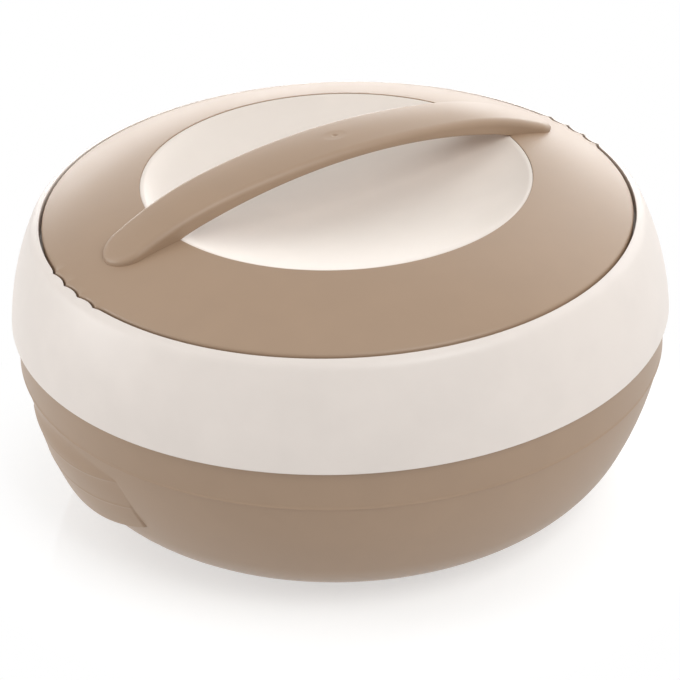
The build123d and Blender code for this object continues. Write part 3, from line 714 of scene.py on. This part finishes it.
class Pad:
    """The finger grip at each end: swells the shell's wall, with the mesh drawn along its edges."""

    def __init__(self, sizes, belly, step_z):
        self.sizes = sizes
        self.belly = belly
        self.step_z = step_z
        self.ramp_z = step_z - sizes.grip_ramp_drop
        self.line_z = step_z - sizes.grip_line_drop
        self.ridge_z = step_z - sizes.grip_ridge_drop
        self.low_z = step_z - sizes.grip_low_drop
        self.half_top = float(self.middle_radius(self.line_z)) * math.sin(sizes.grip_top_angle)
        self.half_low = float(self.middle_radius(self.low_z)) * math.sin(sizes.grip_bottom_angle)
        self.half_turn = sizes.grip_top_angle
        self.zone = PAD_REACH * self.half_turn

    def middle_radius(self, height):
        """Radius of the pad's face at its middle line."""
        stand_out = [self.sizes.grip_bottom_out, self.sizes.grip_top_out]
        return self.belly.radius(height) + np.interp(height, [self.low_z, self.line_z], stand_out)

    def side_turn(self, height):
        """Angle of the pad's side edge at a height."""
        level = np.clip(height, self.low_z, self.ramp_z)
        half = np.interp(level, [self.low_z, self.line_z], [self.half_low, self.half_top])
        return np.arcsin(half / self.belly.radius(level))

    def swell(self, radius, height, turn):
        """Moves points of the outer wall: rows follow the arched edges, columns the sides."""
        sizes = self.sizes
        wall = radius > self.belly.radius(height) - sizes.wall / 2
        wall = wall & (height < self.step_z) & (height > SHELL_FLOOR_Z + TINY)
        away = off_axis(turn)
        size = np.abs(away)
        side = self.side_turn(height)
        within = size * side / self.half_turn
        beyond = side + (size - self.half_turn) * (self.zone - side) / (self.zone - self.half_turn)
        drawn = np.where(size < self.half_turn, within, beyond)
        drawn = np.where(size < self.zone, drawn, size)
        below_step = np.clip((self.step_z - height) / sizes.grip_ramp_drop, 0, 1)
        drawn = size + (drawn - size) * below_step
        levels = [SHELL_FLOOR_Z, self.low_z, self.ridge_z, self.line_z, self.step_z]
        rise = np.interp(height, levels, [0, sizes.grip_arch, sizes.grip_sag, sizes.grip_sag, 0])
        rise = rise * np.minimum(drawn / side, PAD_FADE) ** 2
        rise = rise * (1 - smooth(size, self.half_turn * PAD_FADE, self.zone))
        lifted = height + rise
        outer = self.belly.radius(lifted)
        across = (side - drawn) * outer
        ramp_run = (self.ramp_z - self.line_z) * (1 - np.minimum(drawn / side, 1) ** 2) + sizes.grip_edge
        inside = edge_distance(across, self.line_z + ramp_run - height, sizes.grip_corner)
        part = smooth(inside, 0, sizes.grip_edge) * smooth(height - self.low_z, *PAD_FOOT)
        part = part * (1 - smooth(height - self.line_z, 0, ramp_run))
        part = np.where(size < self.zone, part, 0)
        axis = np.interp(height, [self.low_z, self.line_z], [sizes.grip_axis, sizes.grip_top_axis])
        spread = self.middle_radius(lifted) - axis
        for level in (self.line_z, self.ridge_z):
            spread = spread + sizes.grip_ridge * np.exp(-((height - level) / sizes.grip_ridge_width) ** 2)
        reach = axis * np.cos(drawn) + arc_rise(spread, axis * np.sin(drawn))
        moved = outer + (reach - outer) * part
        new_turn = turn + np.sign(away) * (drawn - size)
        return np.where(wall, moved, radius), np.where(wall, lifted, height), np.where(wall, new_turn, turn)


class WARMER_OT_shell(bpy.types.Operator):
    """Lower bowl with step, spigot and finger grips"""

    bl_idname = "warmer.shell"
    bl_label = "Base shell"

    def execute(self, context):
        sizes = context.scene.warmer_shell
        wall = sizes.wall
        step_z = sizes.shoulder_z - sizes.band_height
        upper = sizes.band_radius - sizes.band_taper
        lower = upper - sizes.step
        belly = Belly(sizes, lower, step_z)
        pad = Pad(sizes, belly, step_z)
        hole = PLUG_RADIUS - PLUG_OVERLAP
        soft = sizes.step_rounding
        root_z = sizes.shoulder_z - sizes.spigot_root
        line = RIDGE_ROWS * sizes.grip_ridge_width
        stops = [
            (SHELL_FLOOR_Z, 14),
            (pad.low_z - PAD_ROW, 8),
            (pad.low_z + PAD_ROW, 3),
            (belly.meeting.y, 8),
            (pad.ridge_z - line, 12),
            (pad.ridge_z + line, 10),
            (pad.line_z - line, 12),
            (pad.line_z + line, 10),
            (pad.ramp_z, 4),
        ]
        corners = [
            Corner(hole, SHELL_FLOOR_Z, FINE_ROUNDING, 0, 8),
            *belly.corners(stops),
            Corner(lower, step_z - STEP_HALF, STEP_ROUNDING),
            Corner(upper + sizes.bead, step_z + STEP_HALF, soft / 2),
            Corner(upper, step_z + sizes.bead_height, soft, 0, 4),
            Corner(sizes.band_radius, sizes.shoulder_z, soft),
            Corner(sizes.spigot_outer, sizes.shoulder_z),
            Corner(sizes.spigot_outer, SPIGOT_TOP_Z, soft),
            Corner(sizes.spigot_inner, SPIGOT_TOP_Z, soft),
            Corner(sizes.spigot_inner, root_z),
            Corner(upper - wall, root_z),
            Corner(float(belly.radius(step_z, wall)), step_z, 0, sizes.belly - wall, 16),
            Corner(*belly.inner_meeting, 0, sizes.corner - wall, 10),
            Corner(belly.corner.x, SHELL_FLOOR_Z + wall, 0, 0, 8),
            Corner(hole, SHELL_FLOOR_Z + wall),
        ]
        zones = []
        for end in (0.0, math.pi):
            zones.append((end, pad.zone, GRIP_TURN))
            zones += [(end + side * pad.half_turn, PAD_EDGE_TURN, FINE_TURN) for side in (-1, 1)]
        piece = lathe("shell_body", corners, turn_angles(zones), pad.swell)
        place(piece, "base", "tan plastic", "base_shell")
        return {"FINISHED"}


class WARMER_OT_collar(bpy.types.Operator):
    """Wide cream ring with its mouth, ledge and keyed ends"""

    bl_idname = "warmer.collar"
    bl_label = "Collar"

    def execute(self, context):
        sizes = context.scene.warmer_collar
        lid = context.scene.warmer_lid
        mouth = LID_RADIUS + lid.gap
        top = (mouth + sizes.top_width, COLLAR_TOP_Z - sizes.top_fall)
        centre = arc_centre(top, (sizes.radius, COLLAR_Z), sizes.bulge)
        inner_top_z = centre.y + arc_rise(sizes.bulge, mouth + 2 * sizes.wall - centre.x)
        inner_low_z = sizes.shoulder_z + sizes.shoulder
        inner_low = centre.x - sizes.wall + arc_rise(sizes.bulge, inner_low_z - centre.y)
        spigot = context.scene.warmer_shell.spigot_inner
        corners = [
            Corner(*top, sizes.top_rounding, sizes.bulge, 40),
            Corner(sizes.radius, COLLAR_Z, sizes.lip_rounding),
            Corner(sizes.socket, COLLAR_Z, sizes.mouth_rounding),
            Corner(sizes.socket, sizes.shoulder_z),
            Corner(spigot, sizes.shoulder_z),
            Corner(spigot, inner_low_z),
            Corner(inner_low, inner_low_z, 0, -sizes.bulge, 20),
            Corner(mouth + sizes.wall, inner_top_z),
            Corner(mouth + sizes.wall, sizes.ledge_z - sizes.ledge),
            Corner(sizes.ledge_radius, sizes.ledge_z - sizes.ledge, LEDGE_ROUNDING),
            Corner(sizes.ledge_radius, sizes.ledge_z, LEDGE_ROUNDING, 0, 4),
            Corner(mouth, sizes.ledge_z, sizes.mouth_rounding, 0, 4),
            Corner(mouth, COLLAR_TOP_Z, sizes.mouth_rounding),
        ]

        def with_notches(radius, height, turn):
            """Moves the mouth's wall out into the notches."""
            keyed = lid.scoop_pitch * (lid.scoop_count - 1) / 2
            plain = smooth(np.abs(off_axis(turn)), keyed - lid.scoop_pitch / 2, keyed)
            gap = lid.key_gap + (lid.gap - lid.key_gap) * plain
            edge = scalloped(turn, lid, lid.scoop_radius - gap, mouth, mouth + lid.notch)
            on_wall = smooth(radius, sizes.ledge_radius + LEDGE_STRETCH, mouth - MOUTH_STRETCH)
            on_wall = on_wall * (1 - smooth(radius, *(mouth + reach for reach in RIM_STRETCH)))
            upper = height > sizes.ledge_z - sizes.ledge / 2
            return np.where(upper, radius + (edge - mouth) * on_wall, radius), height, turn

        piece = lathe("collar_body", corners, turn_angles(key_zones(lid)), with_notches)
        place(piece, "base", "cream plastic", "collar")
        return {"FINISHED"}


class WARMER_OT_ring(bpy.types.Operator):
    """Domed tan ring of the lid, with teeth at both ends of the handle's line"""

    bl_idname = "warmer.ring"
    bl_label = "Lid ring"

    def execute(self, context):
        lid = context.scene.warmer_lid
        skirt_inner = LID_RADIUS - lid.wall
        hub_outer = lid.hole_radius + lid.wall
        edge_z = CROWN_Z - lid.crown_drop
        rib_z = crown_height(lid, lid.rib_radius, lid.wall)
        corners = [
            Corner(lid.hole_radius, CROWN_Z, lid.rim_rounding, lid.crown_radius, 48),
            Corner(LID_RADIUS, edge_z, lid.edge_rounding, 0, 2),
            Corner(LID_RADIUS, SKIRT_Z, FINE_ROUNDING),
            Corner(skirt_inner, SKIRT_Z, FINE_ROUNDING),
            Corner(skirt_inner, lid.plate_z),
            Corner(lid.rib_radius, lid.plate_z),
            Corner(lid.rib_radius, rib_z, 0, lid.wall - lid.crown_radius, 24),
            Corner(hub_outer, crown_height(lid, hub_outer, lid.wall)),
            Corner(hub_outer, lid.seat_z - lid.seat),
            Corner(lid.seat_radius, lid.seat_z - lid.seat),
            Corner(lid.seat_radius, lid.seat_z),
            Corner(lid.hole_radius, lid.seat_z),
        ]

        def with_teeth(radius, height, turn):
            """Moves the lid's edge out into the teeth."""
            edge = scalloped(turn, lid, lid.scoop_radius, LID_RADIUS, LID_RADIUS + lid.tooth)
            on_edge = smooth(radius, skirt_inner - SKIRT_STRETCH, LID_RADIUS - TOOTH_FACE)
            return radius + (edge - LID_RADIUS) * on_edge, height, turn

        piece = lathe("ring_body", corners, turn_angles(key_zones(lid)), with_teeth)
        place(piece, "lid", "tan plastic", "lid_ring")
        return {"FINISHED"}


class WARMER_OT_dish(bpy.types.Operator):
    """Cream hollow in the middle of the lid"""

    bl_idname = "warmer.dish"
    bl_label = "Lid dish"

    def execute(self, context):
        lid = context.scene.warmer_lid
        low_z = CROWN_Z - lid.dish_depth
        rim = lid.hole_radius - lid.dish_seam
        lip = rim - lid.dish_lip
        wall_radius = lip - lid.dish_wall_run
        wall_z = DISH_TOP_Z - lid.dish_wall_depth
        hollow = arc_radius(wall_radius, wall_z - low_z)
        under = hollow + lid.dish_wall
        skirt = rim - lid.dish_wall
        under_edge_z = low_z + hollow - arc_rise(under, skirt)
        corners = [
            Corner(0, low_z - lid.dish_wall, 0, -under, 20),
            Corner(skirt, under_edge_z),
            Corner(skirt, lid.seat_z),
            Corner(rim, lid.seat_z),
            Corner(rim, DISH_TOP_Z, DISH_ROUNDING),
            Corner(lip, DISH_TOP_Z, lid.dish_lip_rounding),
            Corner(wall_radius, wall_z, lid.dish_blend, hollow, 40),
            Corner(0, low_z),
        ]
        piece = lathe("dish_body", corners)
        # Cream plastic warmed to paint bounce light from the tan ring.
        place(piece, "lid", "warm cream plastic", "lid_dish")
        return {"FINISHED"}


# How finely the strap is divided along its length, at the mark in its middle, round its ends and up its section
STRAP_STEP = 1.4 * MM
MARK_STEP = 0.35 * MM
MARK_REACH = 6 * MM
END_POINTS = 33
TOP_LOOPS = 34
EDGE_STEPS = 8
SIDE_PARTS = (0.66, 0.33, 0.0)
UNDER_EDGE_STEPS = 5
UNDER_LOOPS = 9

UNDER_FADE = 12 * MM  # where the rounding of the lower edges dies out before the dish's rim
PIP_FLOOR = 0.2  # flat part of the pip's pit, against its radius


class WARMER_OT_handle(bpy.types.Operator):
    """Arched tan strap over the dish"""

    bl_idname = "warmer.handle"
    bl_label = "Lid handle"

    def execute(self, context):
        sizes = context.scene.warmer_handle
        lid = context.scene.warmer_lid
        hole = lid.hole_radius
        shoulder = HANDLE_REACH - sizes.end_length
        end_radius = arc_radius(sizes.end_half_width, sizes.end_length)
        end_centre = HANDLE_REACH - end_radius
        side_radius = arc_radius(shoulder, HANDLE_HALF_WIDTH - sizes.end_half_width)

        def top_line(along):
            """Height of the strap's middle line: a wide arc, then a tighter one down to each tip."""
            along = np.abs(along)
            half, crown = sizes.crown_half, sizes.crown_radius
            level = arc_rise(crown, half)
            middle = HANDLE_TOP_Z - crown + arc_rise(crown, np.minimum(along, half))
            start = Vector((half, HANDLE_TOP_Z - crown + level))
            down = Vector((level, -half)).normalized()
            chord = Vector((HANDLE_REACH, crown_height(lid, HANDLE_REACH) + sizes.tip)) - start
            fall = math.asin((down.x * -chord.y + down.y * chord.x) / chord.length)
            radius = chord.length / (2 * math.sin(fall))
            centre = start + Vector((down.y, -down.x)) * radius
            return np.where(along < half, middle, centre.y + arc_rise(radius, along - centre.x))

        def under_line(along, aside):
            """Height of the underside: an arc over the dish, and the ring's surface at both feet."""
            middle_z = HANDLE_TOP_Z - sizes.thickness
            radius = arc_radius(hole, middle_z - CROWN_Z)
            arch = middle_z - radius + arc_rise(radius, np.minimum(np.abs(along), hole))
            seat = crown_height(lid, np.maximum(np.hypot(along, aside), hole))
            return np.where(np.abs(along) < hole, arch, seat)

        def half_width(along):
            """Half the strap's width between its round ends."""
            return HANDLE_HALF_WIDTH - side_radius + arc_rise(side_radius, np.minimum(np.abs(along), shoulder))

        def thinning(along, aside):
            """Thickness against that in the middle, by which the roundings shrink towards the tips."""
            return np.clip((top_line(along) - under_line(along, aside)) / sizes.thickness, 0, 1)

        def top_face(along, aside, drop):
            """Height of the upper face, with its camber and mark, at a drop on its rounded edge."""
            camber = sizes.camber * (aside / half_width(along)) ** 2
            mark = (along / sizes.gate_length) ** 2 + (aside / sizes.gate_width) ** 2
            dimple = sizes.gate_depth * (1 - smooth(mark, 0, 1))
            pit = smooth(np.hypot(along, aside), PIP_FLOOR * sizes.pip_radius, sizes.pip_radius)
            height = top_line(along) - (camber + drop) * thinning(along, aside)
            return height - dimple - sizes.pip_depth * (1 - pit)

        def side_face(along, aside, part):
            """Height at a share of the side, between its two rounded edges."""
            low = under_line(along, aside) + sizes.under_edge * thinning(along, aside)
            return low + (np.maximum(top_face(along, aside, sizes.edge), low) - low) * part

        def under_face(along, aside, rise):
            """Height of the underside, at a rise on its rounded edge."""
            over_dish = 1 - smooth(np.abs(along), hole - UNDER_FADE, hole)
            return under_line(along, aside) + rise * over_dish

        limb = np.arange(-shoulder, -MARK_REACH, STRAP_STEP)
        run = np.concatenate([limb, np.arange(-MARK_REACH, MARK_REACH, MARK_STEP), -limb[::-1]])
        opening = math.atan2(sizes.end_half_width, shoulder - end_centre)
        swing = np.linspace(-opening, opening, END_POINTS)[1:-1]
        near = np.stack([run, -half_width(run)], axis=-1)
        right = np.stack([end_centre + end_radius * np.cos(swing), end_radius * np.sin(swing)], axis=-1)
        edge = np.concatenate([near, right, -near, -right])
        middle_line = np.clip(edge[:, 0] * end_centre / shoulder, -end_centre, end_centre)
        spine = np.stack([middle_line, 0 * middle_line], axis=-1)
        reach = np.hypot(*(edge - spine).T)
        loops = []

        def add_loop(inset, face, amount):
            """A loop of points at an inset from the strap's edge, on one of its faces."""
            where = spine + (edge - spine) * np.clip(1 - inset / reach, 0, 1)[:, None]
            loops.append(np.insert(where, 2, face(*where.T, amount), axis=1))

        for inset in np.linspace(reach.max(), sizes.edge, TOP_LOOPS)[:-1]:
            add_loop(inset, top_face, 0)
        for way in np.linspace(0, math.pi / 2, EDGE_STEPS + 1):
            add_loop(sizes.edge * (1 - math.sin(way)), top_face, sizes.edge * (1 - math.cos(way)))
        for part in SIDE_PARTS:
            add_loop(0, side_face, part)
        for way in np.linspace(0, math.pi / 2, UNDER_EDGE_STEPS + 1)[1:]:
            add_loop(sizes.under_edge * (1 - math.cos(way)), under_face, sizes.under_edge * (1 - math.sin(way)))
        for inset in np.linspace(sizes.under_edge, reach.max(), UNDER_LOOPS)[1:]:
            add_loop(inset, under_face, 0)
        points = np.array(loops)
        count = len(edge)
        quads = grid_faces(len(loops), count)[: (len(loops) - 1) * count]
        piece = mesh_object("handle_strap", points.reshape(-1, 3), quads)
        place(piece, "lid", "tan plastic", "lid_handle")
        return {"FINISHED"}


class WARMER_OT_nodes(bpy.types.Operator):
    """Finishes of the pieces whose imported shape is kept"""

    bl_idname = "warmer.nodes"
    bl_label = "Bowl, liner, seals and inner pieces"

    def execute(self, context):
        finishes = {
            "inner_bowl": "spun steel",
            "lid_liner": "spun steel",
            "handle_screws": "plated steel",
            "screw_washers": "plated steel",
            "bowl_gasket": "silicone",
            "lid_seal": "silicone",
            "rubber_feet": "foot rubber",
            "filling_plug": "tan plastic",
            "lid_under_ring": "cream plastic",
            "base_insulation": "foam",
            "lid_insulation": "foam",
        }
        for node, name in finishes.items():
            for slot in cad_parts[node].material_slots:
                slot.material = material(name)
        return {"FINISHED"}


FLOOR_CLEARANCE = 0.1 * MM
LAMP_AIM = Vector((0, 0, 100 * MM))
SENSOR_WIDTH = 36  # millimetres
WHITE = (1, 1, 1)


class WARMER_OT_stage(bpy.types.Operator):
    """Floor, world, lamps and camera"""

    bl_idname = "warmer.stage"
    bl_label = "Stage"

    def execute(self, context):
        settings = context.scene.warmer_stage
        context.scene.view_settings.view_transform = "Standard"
        self.make_floor(settings)
        self.make_world(context.scene, settings)
        self.make_lamps(settings)
        self.make_camera(context.scene, settings)
        return {"FINISHED"}

    def make_floor(self, settings):
        """Pale floor that keeps the pot's shadow and a faint mirror image, and is plain white further out."""
        half = settings.floor_size / 2
        sides = np.array([(-1, -1), (1, -1), (1, 1), (-1, 1)]) * half
        points = np.insert(sides, 2, FLOOR_Z - FLOOR_CLEARANCE, axis=1)
        floor = mesh_object("stage_floor", points, np.arange(4)[None])
        shader = new_shader("stage floor")

        def emission(level):
            return shader.add("ShaderNodeEmission", {}, {"Strength": level})

        def diffuse(shade):
            return shader.add("ShaderNodeBsdfDiffuse", {}, {"Color": shade})

        def blend(part, first, second):
            return shader.add("ShaderNodeMixShader", {}, {0: part, 1: first, 2: second})

        def both(first, second):
            return shader.add("ShaderNodeAddShader", {}, {0: first, 1: second})

        seen, passed, mirrored = shader.light_path()
        across, along = shader.parts(shader.object_place())[:2]
        from_axis = (across * across + along * along) ** 0.5
        white = emission(1.0)
        for_light = both(diffuse((settings.floor_bounce,) * 3), emission(settings.floor_light))
        unseen = blend(mirrored, for_light, white)
        shown = both(diffuse(tuple(settings.floor_shadow)), emission(settings.floor_glow))
        gloss = {"Color": WHITE, "Roughness": settings.mirror_blur}
        near = 1 - from_axis.rise(settings.mirror_start, settings.mirror_end)
        sheen = blend(near * settings.floor_mirror, shown, shader.add("ShaderNodeBsdfGlossy", {}, gloss))
        open_floor = blend(from_axis.rise(settings.white_start, settings.white_end), sheen, white)
        surface = blend((seen + passed).maths("MINIMUM", 1.0), unseen, open_floor)
        shader.add("ShaderNodeOutputMaterial", {}, {"Surface": surface})
        floor.data.materials.append(shader.owner)

    def make_world(self, scene, settings):
        """Even light all round, seen as plain white."""
        scene.world = bpy.data.worlds.new("studio")
        shader = Shader(scene.world)
        seen, passed, mirrored = shader.light_path()
        white = (seen + passed + mirrored).maths("MINIMUM", 1.0)
        strength = settings.ambient + (1 - settings.ambient) * white
        sky = shader.add("ShaderNodeBackground", {}, {"Color": WHITE, "Strength": strength})
        shader.add("ShaderNodeOutputWorld", {}, {"Surface": sky})

    def make_lamps(self, settings):
        """Soft lamps: power, width and height in metres, turn from the camera's right and lift in degrees."""
        lamps = {
            "back": (settings.back, (2.4, 0.5), 90, 7),
            "right": (settings.right, (2.0, 2.0), 45, 28),
            "left": (settings.left, (1.2, 1.0), 180, 14),
            "high_left": (settings.high_left, (1.2, 1.2), 180, 50),
            "high_front": (settings.high_front, (1.2, 1.2), 310, 50),
            "top": (settings.top, (1.6, 1.6), 0, 90),
        }
        for name, (power, (width, height), turn, lift) in lamps.items():
            lamp = bpy.data.lights.new(name, "AREA")
            lamp.shape = "RECTANGLE"
            lamp.size = width
            lamp.size_y = height
            lamp.energy = power
            aside = Matrix.Rotation(settings.azimuth + math.radians(turn), 3, "Z")
            raised = Matrix.Rotation(-math.radians(lift), 3, "Y")
            made = bpy.data.objects.new("lamp_" + name, lamp)
            made.location = aside @ raised @ Vector((settings.lamp_distance, 0, 0))
            made.rotation_euler = (LAMP_AIM - made.location).to_track_quat("-Z", "Y").to_euler()
            bpy.context.scene.collection.objects.link(made)

    def make_camera(self, scene, settings):
        """Camera at the photograph's viewing angle."""
        across = Matrix.Rotation(settings.azimuth, 3, "Z")
        eye = across @ Vector((settings.camera_side, -settings.stand_off, settings.camera_height))
        aim = across @ Vector((settings.camera_side, 0, settings.aim_height))
        camera = bpy.data.cameras.new("camera")
        camera.sensor_width = SENSOR_WIDTH
        camera.lens = settings.lens
        made = bpy.data.objects.new("camera", camera)
        line = (aim - eye).normalized()
        turn = line.to_track_quat("-Z", "Y").to_matrix() @ Matrix.Rotation(-settings.roll, 3, "Z")
        made.matrix_world = Matrix.Translation(eye) @ turn.to_4x4()
        scene.collection.objects.link(made)
        scene.camera = made


class WARMER_PT_panel(bpy.types.Panel):
    """The pieces and the stage, in the order they are made"""

    bl_idname = "WARMER_PT_panel"
    bl_label = "Insulated food warmer"
    bl_space_type = "VIEW_3D"
    bl_region_type = "UI"
    bl_category = "Food warmer"

    def draw(self, context):
        for operator in OPERATORS:
            self.layout.operator(operator.bl_idname)


OPERATORS = (
    WARMER_OT_shell,
    WARMER_OT_collar,
    WARMER_OT_ring,
    WARMER_OT_dish,
    WARMER_OT_handle,
    WARMER_OT_nodes,
    WARMER_OT_stage,
)
GROUPS = {
    "warmer_shell": ShellSizes,
    "warmer_collar": CollarSizes,
    "warmer_lid": LidSizes,
    "warmer_handle": HandleSizes,
    "warmer_finishes": Finishes,
    "warmer_stage": StageSettings,
}


def register():
    for name, group in GROUPS.items():
        bpy.utils.register_class(group)
        setattr(bpy.types.Scene, name, PointerProperty(type=group))
    for operator in OPERATORS:
        bpy.utils.register_class(operator)
    bpy.utils.register_class(WARMER_PT_panel)


def unregister():
    bpy.utils.unregister_class(WARMER_PT_panel)
    for operator in reversed(OPERATORS):
        bpy.utils.unregister_class(operator)
    for name, group in reversed(GROUPS.items()):
        delattr(bpy.types.Scene, name)
        bpy.utils.unregister_class(group)


def main():
    register()
    bpy.ops.warmer.shell()
    bpy.ops.warmer.collar()
    bpy.ops.warmer.ring()
    bpy.ops.warmer.dish()
    bpy.ops.warmer.handle()
    bpy.ops.warmer.nodes()
    bpy.ops.warmer.stage()


if __name__ == "__main__":
    main()
